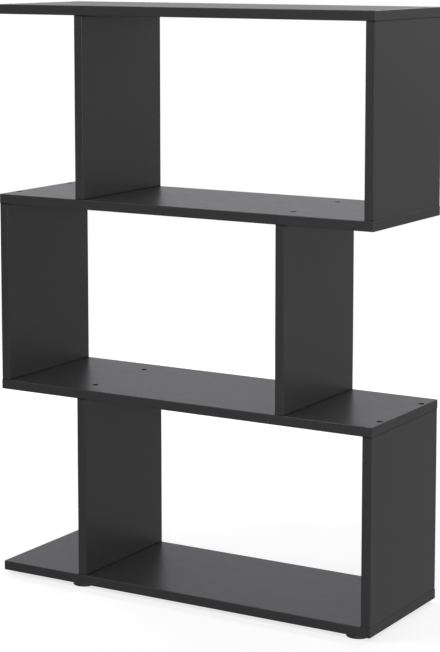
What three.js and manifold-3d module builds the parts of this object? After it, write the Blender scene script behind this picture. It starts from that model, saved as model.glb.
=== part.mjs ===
// Zigzag bookshelf: four full-width shelves on six short uprights that step in and out from tier to tier,
// held by dowel screws through the shelves into the ends of the uprights, on four round glides.
// Millimetres, +Z up. The origin lies on the floor under the middle of the shelves, +X to the right and
// +Y to the back.
import * as THREE from "three";
import { mergeVertices } from "three/addons/utils/BufferGeometryUtils.js";
import Module from "manifold-3d";

const wasm = await Module();
wasm.setup();

// Boards: shelves, and the uprights between them
const shelfLength = 700;
const shelfDepth = 236;
const boardThickness = 16;
const tierHeight = 300; // clear height between a shelf and the next one
const uprightInset = 154; // shelf end to the outer face of an upright that is set in
const uprightSetback = 0.5; // an upright's long edges, and an end one's outer face, behind the shelf's
const jointGap = 0.2; // upright end to the shelf below or above it

// Edge bands: strips glued to the sawn edges, with their outer edges rounded over
const bandThickness = 1.3;
const bandRounding = 1.2;
const bandRoundingMostShare = 0.95; // of the band's thickness
const bandArcSteps = 2; // a quarter round gets twice as many facets
const glueLine = 0.1;

// Dowel screws: a countersunk head with a hexagon socket, a collar that fills the shelf's bore, and a core
// that goes into the pilot bore in the upright's end
const screwLength = 50;
const screwHeadDiameter = 10;
const screwHeadRim = 1.2; // straight edge above the countersink
const screwCollarDiameter = 6.6;
const screwCoreDiameter = 4.6;
const screwTipLength = 3;
const socketWidth = 4; // across flats
const socketDepth = 3;
const screwRecess = 0.5; // top of the head below the board's face
const screwToEdge = 44; // shelf's front or back edge to the screw's axis
const boreClearance = 0.2; // all round a screw
const pilotOverrun = 1; // pilot bore past the screw's tip

// Feet: round glides under the bottom shelf, each on one flat-headed nail
const footDiameter = 38;
const footHeight = 6; // floor to the underside of the bottom shelf
const footRounding = 1.2;
const footSeatGap = 0.2;
const footToEdge = 21.5; // shelf's front or back edge to the foot's middle
const leftFootOutwards = 10; // from the middle of the set-in upright
const rightFootInwards = 22.5; // from the middle of the end upright
const nailLength = 15;
const nailHeadDiameter = 7;
const nailHeadThickness = 1.2;
const nailShankDiameter = 2.2;
const nailTipLength = 2;
const nailRecess = 1.5; // floor to the underside of the nail's head
const nailClearance = 0.15;

// Making: how finely forms are divided, and how far a cutter runs past the face that it opens
const shelfStretches = 3; // along a shelf, so that its middle is a face of its own, clear of all joints
const screwSides = 16;
const nailSides = 12;
const footSides = 28;
const footArcSteps = 4;
const squareSides = 4;
const hexagonSides = 6;
const cutterOverrun = 1;

function finish(color, roughness, metalness) {
  return new THREE.MeshStandardMaterial({ color, roughness, metalness });
}
const melamineFace = () => finish(0x3b3c3e, 0.45, 0);
const plasticBand = () => finish(0x3e3f41, 0.4, 0);
const blackSteel = () => finish(0x2a2a2c, 0.35, 0.9);
const zincSteel = () => finish(0x8d8e90, 0.4, 0.9);
const blackPlastic = () => finish(0x161617, 0.6, 0);

const bookshelf = new THREE.Group();
bookshelf.name = "zigzag_bookshelf";

function addPiece(name, geometry, material) {
  const piece = new THREE.Mesh(geometry, material);
  piece.name = name;
  bookshelf.add(piece);
  return piece;
}

// A closed geometry made a solid that can be cut, and back again
function toSolid(geometry) {
  const bare = geometry.clone();
  bare.deleteAttribute("normal");
  bare.deleteAttribute("uv");
  const merged = mergeVertices(bare);
  const vertProperties = new Float32Array(merged.attributes.position.array);
  const triVerts = new Uint32Array(merged.index.array);
  return new wasm.Manifold(new wasm.Mesh({ numProp: 3, vertProperties, triVerts }));
}

function toGeometry(solid) {
  const { numProp, vertProperties, triVerts } = solid.getMesh();
  const indexed = new THREE.BufferGeometry();
  indexed.setAttribute("position", new THREE.BufferAttribute(vertProperties, numProp));
  indexed.setIndex(new THREE.BufferAttribute(triVerts, 1));
  const geometry = indexed.toNonIndexed();
  geometry.computeVertexNormals();
  return geometry;
}

function cutBy(geometry, cutters) {
  let solid = toSolid(geometry);
  for (const cutter of cutters) solid = solid.subtract(toSolid(cutter));
  return toGeometry(solid);
}

// A profile of [radius, height] pairs, counted upwards along its outer side, turned round Z
function turned(profile, sides) {
  const points = profile.map(([radius, height]) => new THREE.Vector2(radius, height));
  const geometry = new THREE.LatheGeometry(points, sides);
  geometry.rotateX(Math.PI / 2);
  return geometry;
}

// Places: the shelves by level, the uprights by the level of the shelf that they stand on
const shelves = ["bottom_shelf", "lower_shelf", "upper_shelf", "top_shelf"].map((name, level) => ({
  name,
  level,
  underside: footHeight + level * (boardThickness + tierHeight),
}));

const uprightDepth = shelfDepth - 2 * uprightSetback;
const endUpright = shelfLength / 2 - uprightSetback - boardThickness / 2;
const insetUpright = shelfLength / 2 - uprightInset - boardThickness / 2;
const uprights = [
  { name: "bottom_left", level: 0, x: -insetUpright },
  { name: "bottom_right", level: 0, x: endUpright },
  { name: "middle_left", level: 1, x: -endUpright },
  { name: "middle_right", level: 1, x: insetUpright },
  { name: "top_left", level: 2, x: -insetUpright },
  { name: "top_right", level: 2, x: endUpright },
];
const uprightHeight = tierHeight - 2 * jointGap;
const uprightBase = (upright) => shelves[upright.level].underside + boardThickness + jointGap;

const depthSides = [
  { side: "front", outwards: -1 },
  { side: "back", outwards: 1 },
];

// Two screws come up into each upright through the shelf below it, and two go down into it through the
// shelf above. A screw's place is the middle of its head's top.
const screws = uprights.flatMap((upright) =>
  depthSides.flatMap(({ side, outwards }) => {
    const below = shelves[upright.level];
    const above = shelves[upright.level + 1];
    const axis = { upright, x: upright.x, y: outwards * (shelfDepth / 2 - screwToEdge) };
    return [
      {
        ...axis,
        name: `${upright.name}_lower_${side}_screw`,
        shelf: below,
        z: below.underside + screwRecess,
        pointsUp: true,
      },
      {
        ...axis,
        name: `${upright.name}_upper_${side}_screw`,
        shelf: above,
        z: above.underside + boardThickness - screwRecess,
        pointsUp: false,
      },
    ];
  }),
);

// Screw, with its head's top at z = 0 and its tip pointing down. The collar ends in the joint between the
// shelf and the upright. The same profile, grown by the clearance and lengthened at both ends, is the
// stepped bore that it goes into.
function screwProfile(growth, headOverrun, tipOverrun) {
  const headRadius = screwHeadDiameter / 2 + growth;
  const collarRadius = screwCollarDiameter / 2 + growth;
  const coreRadius = screwCoreDiameter / 2 + growth;
  const tip = -screwLength - tipOverrun;
  const collarEnd = screwRecess - boardThickness - jointGap / 2;
  const countersinkEnd = -screwHeadRim - (headRadius - collarRadius);
  return [
    [0, tip],
    [coreRadius, tip + screwTipLength],
    [coreRadius, collarEnd],
    [collarRadius, collarEnd],
    [collarRadius, countersinkEnd],
    [headRadius, -screwHeadRim],
    [headRadius, headOverrun],
    [0, headOverrun],
  ];
}

function screwGeometry() {
  const cornerRadius = socketWidth / Math.sqrt(3);
  const cutterHeight = socketDepth + cutterOverrun;
  const socket = new THREE.CylinderGeometry(cornerRadius, cornerRadius, cutterHeight, hexagonSides);
  socket.rotateX(Math.PI / 2);
  socket.translate(0, 0, cutterOverrun - cutterHeight / 2);
  return cutBy(turned(screwProfile(0, 0, 0), screwSides), [socket]);
}

function screwBore({ x, y, z, pointsUp }) {
  const profile = screwProfile(boreClearance, screwRecess + cutterOverrun, pilotOverrun);
  const bore = turned(profile, screwSides);
  if (pointsUp) bore.rotateX(Math.PI);
  return bore.translate(x, y, z);
}

for (const screw of screws) {
  const piece = addPiece(screw.name, screwGeometry(), blackSteel());
  piece.position.set(screw.x, screw.y, screw.z);
  if (screw.pointsUp) piece.rotation.x = Math.PI;
}

// Foot nail, with its head's underside at z = 0 and its point up, and its bore made in the same way
function nailProfile(growth, headOverrun) {
  const headRadius = nailHeadDiameter / 2 + growth;
  const shankRadius = nailShankDiameter / 2 + growth;
  const headTop = nailHeadThickness + growth;
  const point = nailLength + growth;
  return [
    [0, -headOverrun],
    [headRadius, -headOverrun],
    [headRadius, headTop],
    [shankRadius, headTop],
    [shankRadius, point - nailTipLength],
    [0, point],
  ];
}

function nailBore(x, y) {
  const bore = turned(nailProfile(nailClearance, nailRecess + cutterOverrun), nailSides);
  return bore.translate(x, y, nailRecess);
}

// Feet: flat discs with a rounded lower edge, bored through for the nail
const feet = depthSides.flatMap(({ side, outwards }) => {
  const y = outwards * (shelfDepth / 2 - footToEdge);
  return [
    { name: `${side}_left_foot`, x: -insetUpright - leftFootOutwards, y },
    { name: `${side}_right_foot`, x: endUpright - rightFootInwards, y },
  ];
});

function footGeometry() {
  const radius = footDiameter / 2;
  const top = footHeight - footSeatGap;
  const roundedEdge = new THREE.Path();
  roundedEdge.absarc(radius - footRounding, footRounding, footRounding, -Math.PI / 2, 0, false);
  const arc = roundedEdge.getSpacedPoints(footArcSteps).map(({ x, y }) => [x, y]);
  const disc = turned([[0, 0], ...arc, [radius, top], [0, top]], footSides);
  return cutBy(disc, [nailBore(0, 0)]);
}

for (const foot of feet) {
  addPiece(foot.name, footGeometry(), blackPlastic()).position.set(foot.x, foot.y, 0);
  const nail = addPiece(`${foot.name}_nail`, turned(nailProfile(0, 0), nailSides), zincSteel());
  nail.position.set(foot.x, foot.y, nailRecess);
}

// Shelves: boards with the screw bores right through them, and the nail bores in the bottom one
const boardToEdge = bandThickness + glueLine;
const boardLength = shelfLength - 2 * boardToEdge;
const boardDepth = shelfDepth - 2 * boardToEdge;

for (const shelf of shelves) {
  const board = new THREE.BoxGeometry(boardLength, boardDepth, boardThickness, shelfStretches);
  board.translate(0, 0, shelf.underside + boardThickness / 2);
  const bores = screws.filter((screw) => screw.shelf === shelf).map(screwBore);
  if (shelf.level === 0) bores.push(...feet.map(({ x, y }) => nailBore(x, y)));
  addPiece(shelf.name, cutBy(board, bores), melamineFace());
}

// Uprights: boards on end, with the pilot bores in their ends
const uprightBoardDepth = uprightDepth - 2 * boardToEdge;

for (const upright of uprights) {
  const board = new THREE.BoxGeometry(boardThickness, uprightBoardDepth, uprightHeight);
  board.translate(upright.x, 0, uprightBase(upright) + uprightHeight / 2);
  const bores = screws.filter((screw) => screw.upright === upright).map(screwBore);
  addPiece(`${upright.name}_upright`, cutBy(board, bores), melamineFace());
}

// Band section: x outwards from the glued face, y across the board's thickness, both outer edges rounded
function bandSection() {
  const radius = Math.min(bandRounding, bandRoundingMostShare * bandThickness);
  const middle = bandThickness - radius;
  const section = new THREE.Shape();
  section.moveTo(0, 0);
  section.absarc(middle, radius, radius, -Math.PI / 2, 0, false);
  section.absarc(middle, boardThickness - radius, radius, 0, Math.PI / 2, false);
  section.lineTo(0, boardThickness);
  section.closePath();
  return section;
}

// A shelf's band runs round all four edges. It is turned with four sides, as a square ring with mitred
// corners, whose two halves are then drawn apart to the shelf's length.
function shelfBandGeometry() {
  const gluedFace = shelfDepth / 2 - bandThickness;
  const outline = bandSection().getPoints(bandArcSteps);
  const profile = outline.map(({ x, y }) => [(gluedFace + x) * Math.SQRT2, y]);
  const ring = turned(profile, squareSides).rotateZ(Math.PI / 4);
  const drawnOut = (shelfLength - shelfDepth) / 2;
  const corners = ring.attributes.position;
  for (let corner = 0; corner < corners.count; corner += 1) {
    const x = corners.getX(corner);
    corners.setX(corner, x + Math.sign(x) * drawnOut);
  }
  return toGeometry(toSolid(ring));
}

for (const shelf of shelves) {
  const band = addPiece(`${shelf.name}_edge_band`, shelfBandGeometry(), plasticBand());
  band.position.z = shelf.underside;
}

// An upright has one straight band on its front edge and another on its back edge
function uprightBandGeometry() {
  const strip = new THREE.ExtrudeGeometry(bandSection(), {
    depth: uprightHeight,
    bevelEnabled: false,
    curveSegments: bandArcSteps,
  });
  return strip.translate(0, -boardThickness / 2, 0);
}

const uprightGluedFace = uprightDepth / 2 - bandThickness;

for (const upright of uprights) {
  for (const { side, outwards } of depthSides) {
    const band = addPiece(`${upright.name}_${side}_band`, uprightBandGeometry(), plasticBand());
    band.rotation.z = (outwards * Math.PI) / 2;
    band.position.set(upright.x, outwards * uprightGluedFace, uprightBase(upright));
  }
}

export default bookshelf;
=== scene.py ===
import math

import bmesh
import bpy
from mathutils import Matrix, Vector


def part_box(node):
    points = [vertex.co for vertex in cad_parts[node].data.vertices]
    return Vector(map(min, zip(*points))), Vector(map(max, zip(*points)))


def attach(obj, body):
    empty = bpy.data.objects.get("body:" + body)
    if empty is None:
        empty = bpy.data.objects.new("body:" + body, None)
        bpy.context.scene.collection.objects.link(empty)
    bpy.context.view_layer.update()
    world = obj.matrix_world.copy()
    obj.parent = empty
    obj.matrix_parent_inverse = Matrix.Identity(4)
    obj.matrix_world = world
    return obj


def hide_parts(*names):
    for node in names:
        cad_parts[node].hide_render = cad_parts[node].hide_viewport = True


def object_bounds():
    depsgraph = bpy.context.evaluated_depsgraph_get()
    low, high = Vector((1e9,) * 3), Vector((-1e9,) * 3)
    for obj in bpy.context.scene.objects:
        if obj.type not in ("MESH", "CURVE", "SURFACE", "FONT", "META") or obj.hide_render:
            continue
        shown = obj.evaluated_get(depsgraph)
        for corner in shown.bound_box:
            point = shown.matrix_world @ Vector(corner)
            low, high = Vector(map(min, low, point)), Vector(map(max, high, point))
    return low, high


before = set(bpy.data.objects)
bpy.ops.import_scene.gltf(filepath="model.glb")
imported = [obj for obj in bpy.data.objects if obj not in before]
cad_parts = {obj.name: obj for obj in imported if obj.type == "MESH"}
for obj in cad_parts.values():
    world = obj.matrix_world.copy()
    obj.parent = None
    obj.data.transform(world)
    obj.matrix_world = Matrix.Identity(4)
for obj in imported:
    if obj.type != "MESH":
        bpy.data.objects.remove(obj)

cad_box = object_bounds()


# Shelves: four chipboards, faced above and below with a satin anthracite melamine film that has a fine
# pearl grain. Each is sawn to size, banded all round and bored right through for the screws.
MM = 0.001
SHELVES = ("bottom_shelf", "lower_shelf", "upper_shelf", "top_shelf")
UPRIGHTS = tuple(f"{tier}_{side}" for tier in ("bottom", "middle", "top") for side in ("left", "right"))
MELAMINE_DEEP = (0.0250, 0.0251, 0.0254, 1)
MELAMINE_PALE = (0.0285, 0.0286, 0.0289, 1)
MELAMINE_ROUGHNESS = 0.34
MELAMINE_GLOSS = 0.17
CLOUD_WIDTH = 110 * MM
HAZE_WIDTH = 26 * MM
FLECK_WIDTH = 1.6 * MM
PEARL_WIDTH = 0.55 * MM
PEARL_HEIGHT = 0.012 * MM
LITTLE_DETAIL = 1
SOME_DETAIL = 2
MUCH_DETAIL = 3
MOTTLE_MIDDLE = 0.5
CLOUD_SHARE = 0.5
HAZE_SHARE = 0.3
FLECK_SHARE = 0.2
HAZE_DULLING = 0.06
BOARD_LINE_WIDTH = 3.4 * MM
# Near-black tone of the painted shade along the joints and on the walls of the screws' bores.
PAINTED_SHADE_TONE = (0.004, 0.004, 0.0042, 1)
JOINT_SHADE_SHARE = 0.9
END_SHADE_SHARE = 0.1
END_FACE_DEPTH = 1 * MM
JOINT_DULLING = 0.5
SKIN = 0.1 * MM


class Wire:
    """An output of a material's nodes. Sums on wires add Math nodes, and node() adds any other node."""

    def __init__(self, tree, socket=None):
        self.tree = tree
        self.socket = socket

    def node(self, kind, settings, inputs, output=None):
        made = self.tree.nodes.new(kind)
        for name, value in settings.items():
            setattr(made, name, value)
        for identifier, value in inputs.items():
            entry = next(each for each in made.inputs if each.identifier == identifier)
            if isinstance(value, Wire):
                self.tree.links.new(value.socket, entry)
            else:
                entry.default_value = value
        leaving = next((each for each in made.outputs if output in (None, each.identifier)), None)
        return Wire(self.tree, leaving)

    def math(self, operation, first, second):
        return self.node("ShaderNodeMath", {"operation": operation}, {"Value": first, "Value_001": second})

    def __abs__(self):
        return self.math("ABSOLUTE", self, 0)

    def __gt__(self, other):
        return self.math("GREATER_THAN", self, other)

    def __add__(self, other):
        return self.math("ADD", self, other)

    def __radd__(self, other):
        return self.math("ADD", other, self)

    def __sub__(self, other):
        return self.math("SUBTRACT", self, other)

    def __rsub__(self, other):
        return self.math("SUBTRACT", other, self)

    def __mul__(self, other):
        return self.math("MULTIPLY", self, other)

    def __rmul__(self, other):
        return self.math("MULTIPLY", other, self)


def new_finish(name):
    """An empty material, and the object coordinates that its patterns are read from."""
    finish = bpy.data.materials.new(name)
    finish.use_nodes = True
    finish.node_tree.nodes.clear()
    places = Wire(finish.node_tree).node("ShaderNodeTexCoord", {}, {}, "Object")
    return finish, places


def mottle(places, width, detail):
    """Soft noise between 0 and 1, whose patches are about this wide. More detail adds finer ones."""
    inputs = {"Vector": places, "Scale": 1 / width, "Detail": detail}
    return places.node("ShaderNodeTexNoise", {}, inputs, "Fac")


def blend_tones(mask, deep, pale):
    """The deep tone where the mask is 0, the pale one where it is 1, and a mixture between."""
    inputs = {"Factor_Float": mask, "A_Color": deep, "B_Color": pale}
    return mask.node("ShaderNodeMix", {"data_type": "RGBA"}, inputs, "Result_Color")


def relief(height, depth):
    """A bump normal for a height between 0 and 1 that stands for this depth."""
    return height.node("ShaderNodeBump", {}, {"Height": height, "Distance": depth}, "Normal")


def part_of(places, axis):
    """How far these places lie along one axis."""
    return places.node("ShaderNodeSeparateXYZ", {}, {"Vector": places}, axis)


def joint_line(x, z, width):
    """1 on the lines where the uprights meet the shelves, and less and less to 0 this far beside them."""
    nearest = width
    for upright in UPRIGHTS:
        low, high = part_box(f"{upright}_upright")
        middle = (low + high) / 2
        half = (high - low) / 2
        beside = x.math("MAXIMUM", abs(x - middle.x) - half.x, 0)
        past_end = abs(z - middle.z) - half.z
        away = x.math("SQRT", beside * beside + past_end * past_end, 0)
        nearest = x.math("MINIMUM", away, nearest)
    return 1 - nearest * (1 / width)


def inside_shelf(z):
    """1 below the skin of a shelf, where only the walls of the screws' bores show, and else 0."""
    deepest = 0
    for shelf in SHELVES:
        low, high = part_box(shelf)
        depth = (high.z - low.z) / 2 - abs(z - (low.z + high.z) / 2)
        deepest = z.math("MAXIMUM", depth, deepest)
    return deepest > SKIN


def painted_joint_shade(places, width):
    """How dark with painted shade and how dull the joints are: least on the end faces."""
    x = part_of(places, "X")
    z = part_of(places, "Z")
    end_face = abs(x) > cad_box[1].x - END_FACE_DEPTH
    share = JOINT_SHADE_SHARE - (JOINT_SHADE_SHARE - END_SHADE_SHARE) * end_face
    return share * joint_line(x, z, width)


def coat(places, **sockets):
    """Ends the material in one shader. A socket's name has _ for each space."""
    inputs = {name.replace("_", " "): value for name, value in sockets.items()}
    shader = places.node("ShaderNodeBsdfPrincipled", {}, inputs, "BSDF")
    places.node("ShaderNodeOutputMaterial", {}, {"Surface": shader})


def melamine_film():
    finish, places = new_finish("anthracite_melamine")
    cloud = mottle(places, CLOUD_WIDTH, MUCH_DETAIL)
    haze = mottle(places, HAZE_WIDTH, SOME_DETAIL)
    fleck = mottle(places, FLECK_WIDTH, LITTLE_DETAIL)
    pearl = mottle(places, PEARL_WIDTH, SOME_DETAIL)
    # Painted shade: the walls of the screws' bores are near black, and so is a band along each joint.
    bore_wall = inside_shelf(part_of(places, "Z"))
    painted_shade = places.math("MAXIMUM", painted_joint_shade(places, BOARD_LINE_WIDTH), bore_wall)
    tone = CLOUD_SHARE * cloud + HAZE_SHARE * haze + FLECK_SHARE * fleck
    film = blend_tones(tone, MELAMINE_DEEP, MELAMINE_PALE)
    coat(
        places,
        Base_Color=blend_tones(painted_shade, film, PAINTED_SHADE_TONE),
        Roughness=MELAMINE_ROUGHNESS + HAZE_DULLING * (haze - MOTTLE_MIDDLE) + JOINT_DULLING * painted_shade,
        Specular_IOR_Level=MELAMINE_GLOSS,
        Normal=relief(pearl, PEARL_HEIGHT),
    )
    return finish


def lay_on(node, finish):
    """Gives a board of the frame its finish."""
    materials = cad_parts[node].data.materials
    materials.clear()
    materials.append(finish)


melamine = melamine_film()
for shelf in SHELVES:
    lay_on(shelf, melamine)


# Uprights: six short boards of the same faced chipboard, standing on end between two shelves. Their sawn
# ends carry the screws, and only their long edges are banded.
for upright in UPRIGHTS:
    lay_on(f"{upright}_upright", melamine)


# Edge bands: plastic strips, glued hot to the sawn edges, trimmed flush with the faces and rounded over.
# One runs round each shelf, and one runs up each long edge of an upright.
BAND_THICKNESS = 1.3 * MM
BAND_ROUNDING = 1.2 * MM
BAND_ARC_STEPS = 6
BAND_DEEP = (0.0211, 0.0212, 0.0215, 1)
BAND_PALE = (0.0238, 0.0239, 0.0242, 1)
# Lighter tone of the upper roundings: partly rubbed wear, partly a painted highlight.
BAND_RUBBED_HIGHLIGHT = (0.0323, 0.0324, 0.0327, 1)
BAND_HAZE_SHARE = 0.6
BAND_LINE_WIDTH = 2.2 * MM
BAND_ROUGHNESS = 0.34
FLECK_DULLING = 0.04
RUB_SMOOTHING = 0.05
BAND_GLOSS = 0.17
BAND_BUFFING = 0.5
BUFFED_ROUGHNESS = 0.22
RIPPLE_WIDTH = 0.8 * MM
RIPPLE_HEIGHT = 0.015 * MM
WEAR_HIGHLIGHT_PEAK = 2
MOSTLY = 0.5
AXES = range(3)
LENGTHWAYS = 0
ACROSS = 1
SIDES_AT_AN_EDGE = 2
SAME_PLACE = 0.001 * MM
SHARP_ANGLE = math.radians(35)


def plastic_band():
    finish, places = new_finish("anthracite_edge_band")
    haze = mottle(places, HAZE_WIDTH, SOME_DETAIL)
    fleck = mottle(places, FLECK_WIDTH, LITTLE_DETAIL)
    ripple = mottle(places, RIPPLE_WIDTH, LITTLE_DETAIL)
    wear_and_highlight = places.node("ShaderNodeAttribute", {"attribute_name": "edge_wear_and_highlight"}, {}, "Fac")
    # Painted shade darkens the band along the joints.
    painted_shade = painted_joint_shade(places, BAND_LINE_WIDTH)
    tone = BAND_HAZE_SHARE * haze + (1 - BAND_HAZE_SHARE) * fleck
    plain = blend_tones(tone, BAND_DEEP, BAND_PALE)
    # Upper front and back roundings are painted lighter: partly rubbed wear, partly a painted highlight.
    rubbed_and_highlit = blend_tones(wear_and_highlight * haze, plain, BAND_RUBBED_HIGHLIGHT)
    dulled = BAND_ROUGHNESS + FLECK_DULLING * (fleck - MOTTLE_MIDDLE)
    coat(
        places,
        Base_Color=blend_tones(painted_shade, rubbed_and_highlit, PAINTED_SHADE_TONE),
        Roughness=dulled - RUB_SMOOTHING * wear_and_highlight + JOINT_DULLING * painted_shade,
        Specular_IOR_Level=BAND_GLOSS,
        Coat_Weight=BAND_BUFFING * wear_and_highlight,
        Coat_Roughness=BUFFED_ROUGHNESS,
        Normal=relief(ripple, RIPPLE_HEIGHT),
    )
    return finish


def block(mesh, low, high):
    """A box in this mesh, between two corners."""
    place = Matrix.Translation((low + high) / 2) @ Matrix.Diagonal((*(high - low), 1))
    bmesh.ops.create_cube(mesh, size=1, matrix=place)


def lies_at(edge, axis, *places):
    """True if both ends of the edge have the same one of these places along this axis."""
    gaps = [[abs(corner.co[axis] - place) for corner in edge.verts] for place in places]
    return any(max(pair) < SAME_PLACE for pair in gaps)


def round_over(mesh, edges):
    """Rounds these edges of a band, and marks how far each spot is rubbed and lightened as a painted
    highlight.

    That is 1 along the middle of an upper edge at the front or back, and falls to 0 beside it.
    """
    rounded = set(
        bmesh.ops.bevel(
            mesh,
            geom=edges,
            offset=BAND_ROUNDING,
            segments=BAND_ARC_STEPS,
            profile=0.5,
            affect="EDGES",
            material=-1,
        )["faces"]
    )
    mesh.normal_update()
    wear_and_highlight = mesh.verts.layers.float.new("edge_wear_and_highlight")
    for corner in {corner for face in rounded for corner in face.verts}:
        if rounded.issuperset(corner.link_faces):
            outwards = corner.normal
            corner[wear_and_highlight] = WEAR_HIGHLIGHT_PEAK * abs(outwards.y) * max(outwards.z, 0)


def add_piece(node, data, finish):
    """Makes this mesh the shown piece of the shelf for a node of the frame."""
    data.materials.append(finish)
    data.shade_smooth()
    data.set_sharp_from_angle(angle=SHARP_ANGLE)
    piece = bpy.data.objects.new(f"{node}_finished", data)
    bpy.context.scene.collection.objects.link(piece)
    weighted = piece.modifiers.new("flat_faces", "WEIGHTED_NORMAL")
    weighted.keep_sharp = True
    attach(piece, "root")
    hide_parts(node)


def to_data(mesh, name):
    """Turns a finished bmesh into mesh data of this name."""
    data = bpy.data.meshes.new(name)
    mesh.to_mesh(data)
    mesh.free()
    return data


def shelf_band(node):
    """A ring of strip round a shelf, with mitred corners."""
    low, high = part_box(node)
    mesh = bmesh.new()
    block(mesh, low, high)
    level = [face for face in mesh.faces if abs(face.normal.z) > MOSTLY]
    bmesh.ops.delete(mesh, geom=level, context="FACES_ONLY")
    bmesh.ops.solidify(mesh, geom=mesh.faces[:], thickness=BAND_THICKNESS)
    sides = tuple(zip(low, high))
    outer = [
        edge
        for edge in mesh.edges
        if sum(lies_at(edge, axis, *sides[axis]) for axis in AXES) >= SIDES_AT_AN_EDGE
    ]
    round_over(mesh, outer)
    add_piece(node, to_data(mesh, node), edge_band)


def upright_band(node, at_front):
    """A straight strip, rounded over along both edges of its outer side."""
    low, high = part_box(node)
    outer_side = low.y if at_front else high.y
    mesh = bmesh.new()
    block(mesh, low, high)
    outer = [
        edge
        for edge in mesh.edges
        if lies_at(edge, ACROSS, outer_side) and lies_at(edge, LENGTHWAYS, low.x, high.x)
    ]
    round_over(mesh, outer)
    add_piece(node, to_data(mesh, node), edge_band)


edge_band = plastic_band()
for shelf in SHELVES:
    shelf_band(f"{shelf}_edge_band")
for upright in UPRIGHTS:
    upright_band(f"{upright}_front_band", at_front=True)
    upright_band(f"{upright}_back_band", at_front=False)


# Dowel screws: blackened steel, turned, with a flat countersunk head, a hexagon socket and a coarse rolled
# thread. Two bite into each end of an upright, with their heads just below the shelf's face.
SCREW_LENGTH = 50 * MM
HEAD_RADIUS = 5 * MM
HEAD_RIM = 1.2 * MM
HEAD_CHAMFER = 0.25 * MM
COLLAR_RADIUS = 3.3 * MM
COLLAR_LENGTH = 15.6 * MM
CORE_RADIUS = 2.3 * MM
TIP_LENGTH = 3 * MM
THREAD_RADIUS = 3.3 * MM
THREAD_PITCH = 3 * MM
THREAD_WIDTH = 1.1 * MM
THREAD_SINK = 0.2 * MM
THREAD_TURNS = 10
THREAD_END_SHARE = 0.1
SOCKET_SIDES = 6
SOCKET_WIDTH = 4 * MM
SOCKET_MOUTH = 2.5 * MM
SOCKET_CHAMFER = 0.3 * MM
SOCKET_DEPTH = 3 * MM
SOCKET_END = 0.6 * MM
SCREW_SIDES = 48
THREAD_STEPS = 24
STEEL_DARK = (0.005, 0.005, 0.0053, 1)
STEEL_WORN = (0.013, 0.0128, 0.013, 1)
STEEL_ROUGHNESS = 0.7
STEEL_GLOSS = 0
STAIN_WIDTH = 3 * MM
STAIN_DULLING = 0.16
TOOL_MARK_WIDTH = 0.35 * MM
TOOL_MARK_HEIGHT = 0.01 * MM
UPSIDE_DOWN = Matrix.Rotation(math.pi, 4, "X")


def blackened_steel():
    finish, places = new_finish("blackened_steel")
    stain = mottle(places, STAIN_WIDTH, MUCH_DETAIL)
    marks = mottle(places, TOOL_MARK_WIDTH, SOME_DETAIL)
    coat(
        places,
        Base_Color=blend_tones(stain * marks, STEEL_DARK, STEEL_WORN),
        Roughness=STEEL_ROUGHNESS + STAIN_DULLING * (stain - MOTTLE_MIDDLE),
        Specular_IOR_Level=STEEL_GLOSS,
        Normal=relief(marks, TOOL_MARK_HEIGHT),
    )
    return finish


def turned(mesh, outline, sides, closed=False):
    """Turns an outline of (radius, height) pairs round the Z axis, and a closed one into a ring."""
    corners = [mesh.verts.new((radius, 0, height)) for radius, height in outline]
    following = corners[1:] + corners[:1] if closed else corners[1:]
    lines = [mesh.edges.new(pair) for pair in zip(corners, following)]
    bmesh.ops.spin(
        mesh,
        geom=corners + lines,
        cent=(0, 0, 0),
        axis=(0, 0, 1),
        angle=math.tau,
        steps=sides,
        use_merge=True,
    )
    bmesh.ops.remove_doubles(mesh, verts=mesh.verts, dist=SAME_PLACE)
    bmesh.ops.recalc_face_normals(mesh, faces=mesh.faces)


def open_rim(mesh):
    """The edges that have a face on one side only."""
    return [edge for edge in mesh.edges if edge.is_boundary]


def sink_socket(mesh):
    """Sinks a hexagon socket into the round mouth left open in the head."""
    rim = open_rim(mesh)
    side_angle = math.tau / SOCKET_SIDES
    for depth in (SOCKET_CHAMFER, SOCKET_DEPTH):
        bmesh.ops.extrude_edge_only(mesh, edges=rim)
        rim = open_rim(mesh)
        for corner in {corner for edge in rim for corner in edge.verts}:
            angle = math.atan2(corner.co.y, corner.co.x)
            off_middle = angle % side_angle - side_angle / 2
            reach = SOCKET_WIDTH / 2 / math.cos(off_middle)
            corner.co = (reach * math.cos(angle), reach * math.sin(angle), -depth)
    floor = bmesh.ops.holes_fill(mesh, edges=rim)["faces"]
    point = bmesh.ops.poke(mesh, faces=floor)["verts"][0]
    point.co = (0, 0, -SOCKET_DEPTH - SOCKET_END)
    bmesh.ops.recalc_face_normals(mesh, faces=mesh.faces)


def roll_thread(mesh):
    """Winds a ridge up the core, from the tip, that starts and ends low."""
    start = TIP_LENGTH / 2 - SCREW_LENGTH
    root = CORE_RADIUS - THREAD_SINK
    section = ((root, 0), (THREAD_RADIUS, THREAD_WIDTH / 2), (root, THREAD_WIDTH))
    corners = [mesh.verts.new((radius, 0, start + rise)) for radius, rise in section]
    lines = [mesh.edges.new(pair) for pair in zip(corners, corners[1:] + corners[:1])]
    before = set(mesh.verts) - set(corners)
    steps = THREAD_TURNS * THREAD_STEPS
    bmesh.ops.spin(
        mesh,
        geom=corners + lines,
        cent=(0, 0, 0),
        axis=(0, 0, 1),
        dvec=(0, 0, THREAD_PITCH / THREAD_STEPS),
        angle=math.tau * THREAD_TURNS,
        steps=steps,
    )
    end = start + THREAD_TURNS * THREAD_PITCH + THREAD_WIDTH
    for corner in set(mesh.verts) - before:
        radius = corner.co.xy.length
        height = min(1, min(corner.co.z - start, end - corner.co.z) / THREAD_PITCH)
        drawn_in = min(radius, root + (radius - root) * max(height, THREAD_END_SHARE))
        corner.co.xy *= drawn_in / radius
    bmesh.ops.holes_fill(mesh, edges=open_rim(mesh))
    bmesh.ops.recalc_face_normals(mesh, faces=mesh.faces)


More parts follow.
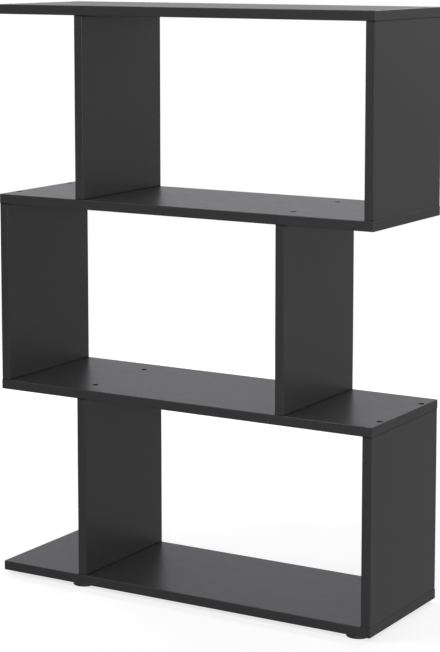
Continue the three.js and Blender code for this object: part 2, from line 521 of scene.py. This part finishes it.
def screw_data():
    outline = (
        (0, -SCREW_LENGTH),
        (CORE_RADIUS, TIP_LENGTH - SCREW_LENGTH),
        (CORE_RADIUS, -COLLAR_LENGTH),
        (COLLAR_RADIUS, -COLLAR_LENGTH),
        (COLLAR_RADIUS, COLLAR_RADIUS - HEAD_RADIUS - HEAD_RIM),
        (HEAD_RADIUS, -HEAD_RIM),
        (HEAD_RADIUS, -HEAD_CHAMFER),
        (HEAD_RADIUS - HEAD_CHAMFER, 0),
        (SOCKET_MOUTH, 0),
    )
    mesh = bmesh.new()
    turned(mesh, outline, SCREW_SIDES)
    sink_socket(mesh)
    roll_thread(mesh)
    return to_data(mesh, "dowel_screw")


def end_of(node, upper):
    """A move to the middle of the node's upper or lower end."""
    low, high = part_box(node)
    middle = (low + high) / 2
    return Matrix.Translation((middle.x, middle.y, high.z if upper else low.z))


def add_copy(node, pattern, place, finish):
    """Makes a copy of the pattern, moved to its place, the shown piece for a node of the frame."""
    data = pattern.copy()
    data.transform(place)
    add_piece(node, data, finish)


steel = blackened_steel()
screw = screw_data()
for upright in UPRIGHTS:
    for end in ("lower", "upper"):
        for side in ("front", "back"):
            node = f"{upright}_{end}_{side}_screw"
            place = end_of(node, upper=end == "upper")
            if end == "lower":
                place = place @ UPSIDE_DOWN
            add_copy(node, screw, place, steel)


# Feet: round glides moulded in black plastic, with a rounded lower edge. Each is pressed up against the
# bottom shelf by one nail, whose head is sunk in it clear of the floor.
FOOT_RADIUS = 19 * MM
FOOT_HEIGHT = 5.8 * MM
FOOT_ROUNDING = 1.2 * MM
FOOT_TAPER = 0.3 * MM
NAIL_RECESS = 1.5 * MM
NAIL_HEAD_RADIUS = 3.5 * MM
NAIL_HEAD_THICKNESS = 1.2 * MM
NAIL_SHANK_RADIUS = 1.1 * MM
NAIL_CLEARANCE = 0.15 * MM
FOOT_SIDES = 72
FOOT_ARC_STEPS = 6
QUARTER_TURN = math.radians(90)
PLASTIC_BLACK = (0.0065, 0.0065, 0.0068, 1)
PLASTIC_SCUFFED = (0.014, 0.014, 0.0142, 1)
PLASTIC_ROUGHNESS = 0.55
PLASTIC_GLOSS = 0.3
SCUFF_WIDTH = 6 * MM
SCUFF_DULLING = 0.2
PLASTIC_GRAIN_WIDTH = 0.3 * MM
PLASTIC_GRAIN_HEIGHT = 0.02 * MM


def black_plastic():
    finish, places = new_finish("black_plastic")
    scuff = mottle(places, SCUFF_WIDTH, MUCH_DETAIL)
    grain = mottle(places, PLASTIC_GRAIN_WIDTH, SOME_DETAIL)
    coat(
        places,
        Base_Color=blend_tones(scuff, PLASTIC_BLACK, PLASTIC_SCUFFED),
        Roughness=PLASTIC_ROUGHNESS + SCUFF_DULLING * (scuff - MOTTLE_MIDDLE),
        Specular_IOR_Level=PLASTIC_GLOSS,
        Normal=relief(grain, PLASTIC_GRAIN_HEIGHT),
    )
    return finish


def lower_corner(radius, rounding, steps):
    """Points of an outline that round its lower corner, from facing down to facing out."""
    angles = [QUARTER_TURN * step / steps for step in range(steps + 1)]
    middle = radius - rounding
    return [(middle + rounding * math.sin(angle), rounding * (1 - math.cos(angle))) for angle in angles]


def foot_data():
    bore = NAIL_SHANK_RADIUS + NAIL_CLEARANCE
    wide_bore = NAIL_HEAD_RADIUS + NAIL_CLEARANCE
    wide_bore_end = NAIL_RECESS + NAIL_HEAD_THICKNESS + NAIL_CLEARANCE
    outline = (
        (wide_bore, 0),
        *lower_corner(FOOT_RADIUS, FOOT_ROUNDING, FOOT_ARC_STEPS),
        (FOOT_RADIUS - FOOT_TAPER, FOOT_HEIGHT),
        (bore, FOOT_HEIGHT),
        (bore, wide_bore_end),
        (wide_bore, wide_bore_end),
    )
    mesh = bmesh.new()
    turned(mesh, outline, FOOT_SIDES, closed=True)
    return to_data(mesh, "glide")


FEET = tuple(f"{side}_{end}_foot" for side in ("front", "back") for end in ("left", "right"))
plastic = black_plastic()
glide = foot_data()
for foot in FEET:
    add_copy(foot, glide, end_of(foot, upper=False), plastic)


# Foot nails: cold-headed steel wire, zinc plated. One is driven through each glide into the bottom shelf.
NAIL_LENGTH = 15 * MM
NAIL_TIP_LENGTH = 2 * MM
NAIL_HEAD_ROUNDING = 0.3 * MM
NAIL_SIDES = 32
NAIL_ARC_STEPS = 3
ZINC_DULL = (0.30, 0.30, 0.31, 1)
ZINC_BRIGHT = (0.46, 0.46, 0.47, 1)
ZINC_ROUGHNESS = 0.37
SPANGLE_WIDTH = 1.2 * MM
SPANGLE_DULLING = 0.15


def zinc():
    finish, places = new_finish("zinc_plate")
    spangle = mottle(places, SPANGLE_WIDTH, MUCH_DETAIL)
    marks = mottle(places, TOOL_MARK_WIDTH, SOME_DETAIL)
    coat(
        places,
        Base_Color=blend_tones(spangle, ZINC_DULL, ZINC_BRIGHT),
        Roughness=ZINC_ROUGHNESS + SPANGLE_DULLING * (spangle - MOTTLE_MIDDLE),
        Metallic=1,
        Normal=relief(marks, TOOL_MARK_HEIGHT),
    )
    return finish


def nail_data():
    outline = (
        (0, 0),
        *lower_corner(NAIL_HEAD_RADIUS, NAIL_HEAD_ROUNDING, NAIL_ARC_STEPS),
        (NAIL_HEAD_RADIUS, NAIL_HEAD_THICKNESS),
        (NAIL_SHANK_RADIUS, NAIL_HEAD_THICKNESS),
        (NAIL_SHANK_RADIUS, NAIL_LENGTH - NAIL_TIP_LENGTH),
        (0, NAIL_LENGTH),
    )
    mesh = bmesh.new()
    turned(mesh, outline, NAIL_SIDES)
    return to_data(mesh, "foot_nail")


plated = zinc()
nail = nail_data()
for foot in FEET:
    node = f"{foot}_nail"
    add_copy(node, nail, end_of(node, upper=False), plated)


# Floor and backdrop: a plain white studio floor that runs into the white round it. It shows the shelf's
# soft shadow, paled by the light that the floor gives back.
FLOOR_REACH = 14
FLOOR_WHITE = (0.65, 0.65, 0.65, 1)
SHADOW_REACH = 0.9
BACKDROP_START = 2.2
GLOW_BY_SHELF = 2.35
LIFT_BY_SHELF = 0.29
MIRRORED_FLOOR = 0.56
ROOM_WHITE = (1, 1, 1, 1)
ROOM_COOL = (0.99, 0.99, 1.04, 1)
ROOM_LEVEL = 0.3
MIRRORED_ROOM = 0.88


def seen(start, by_eye, in_mirror):
    """One value for the camera's straight view, one for its view by way of gloss or glass, and else 0."""
    camera = start.node("ShaderNodeLightPath", {}, {}, "Is Camera Ray")
    glossy = start.node("ShaderNodeLightPath", {}, {}, "Is Glossy Ray")
    through = start.node("ShaderNodeLightPath", {}, {}, "Is Transmission Ray")
    return by_eye * camera + in_mirror * start.math("MAXIMUM", glossy, through)


def studio_floor():
    finish, places = new_finish("white_floor")
    matt = places.node("ShaderNodeBsdfDiffuse", {}, {"Color": FLOOR_WHITE}, "BSDF")
    distance = places.node("ShaderNodeVectorMath", {"operation": "LENGTH"}, {"Vector": places}, "Value")
    reach = {"Value": distance, "From Min": SHADOW_REACH, "From Max": BACKDROP_START}
    far = places.node("ShaderNodeMapRange", {"interpolation_type": "SMOOTHSTEP"}, reach, "Result")
    glow = seen(places, GLOW_BY_SHELF - (GLOW_BY_SHELF - 1) * far, MIRRORED_FLOOR)
    lit = places.node("ShaderNodeEmission", {}, {"Color": ROOM_WHITE, "Strength": glow}, "Emission")
    lift = seen(places, LIFT_BY_SHELF + (1 - LIFT_BY_SHELF) * far, 1)
    floor_mix = {"Fac": lift, "Shader": matt, "Shader_001": lit}
    shader = places.node("ShaderNodeMixShader", {}, floor_mix, "Shader")
    places.node("ShaderNodeOutputMaterial", {}, {"Surface": shader})
    return finish


def studio_world():
    world = bpy.data.worlds.new("white_room")
    world.use_nodes = True
    world.node_tree.nodes.clear()
    start = Wire(world.node_tree)
    strength = ROOM_LEVEL + seen(start, 1 - ROOM_LEVEL, MIRRORED_ROOM - ROOM_LEVEL)
    colour = blend_tones(seen(start, 0, 1), ROOM_WHITE, ROOM_COOL)
    room = start.node("ShaderNodeBackground", {}, {"Color": colour, "Strength": strength}, "Background")
    start.node("ShaderNodeOutputWorld", {}, {"Surface": room})
    return world


floor_mesh = bmesh.new()
bmesh.ops.create_grid(floor_mesh, x_segments=1, y_segments=1, size=FLOOR_REACH)
floor_data = to_data(floor_mesh, "floor")
floor_data.materials.append(studio_floor())
floor = bpy.data.objects.new("floor", floor_data)
bpy.context.scene.collection.objects.link(floor)
bpy.context.scene.world = studio_world()


# Lamps: five square soft boxes, aimed at the middle of the shelf. One hangs over its front left and one
# high behind it. The others stand beside the camera, low at the right, and at the left a little behind.
SOFT_BOXES = {
    "overhead_box": {"place": (-0.82, -0.9, 2.55), "width": 0.65, "watts": 10},
    "right_box": {"place": (2.6, -2.2, 0.75), "width": 1.0, "watts": 31},
    "front_box": {"place": (1.6, -3.0, 0.9), "width": 1.0, "watts": 62},
    "back_box": {"place": (0.2, 2.6, 2.7), "width": 1.2, "watts": 30},
    "left_box": {"place": (-2.9, 1.2, 1.2), "width": 1.2, "watts": 36},
}


def soft_box(name, place, width, watts):
    data = bpy.data.lights.new(name, "AREA")
    data.shape = "SQUARE"
    data.size = width
    data.energy = watts
    lamp = bpy.data.objects.new(name, data)
    lamp.location = place
    aim = (cad_box[0] + cad_box[1]) / 2 - lamp.location
    lamp.rotation_euler = aim.to_track_quat("-Z", "Y").to_euler()
    bpy.context.scene.collection.objects.link(lamp)


for name, values in SOFT_BOXES.items():
    soft_box(name, **values)


# Camera: it stands in front, to the right and a little above the top shelf, where the photograph was taken
# from. It has the photograph's frame, and a small shift keeps the uprights nearly parallel.
CAMERA_PLACE = (1.7375, -2.8739, 1.0592)
CAMERA_TURN = math.radians(31.011)
CAMERA_DIP = math.radians(7.136)
CAMERA_LENS = 114.14
CAMERA_FILM = 36
CAMERA_SHIFT = -0.18

camera_data = bpy.data.cameras.new("camera")
camera_data.lens = CAMERA_LENS
camera_data.sensor_width = CAMERA_FILM
camera_data.shift_y = CAMERA_SHIFT
camera = bpy.data.objects.new("camera", camera_data)
camera.location = CAMERA_PLACE
camera.rotation_euler = (QUARTER_TURN - CAMERA_DIP, 0, CAMERA_TURN)
bpy.context.scene.collection.objects.link(camera)
bpy.context.scene.camera = camera
bpy.context.scene.view_settings.view_transform = "Standard"
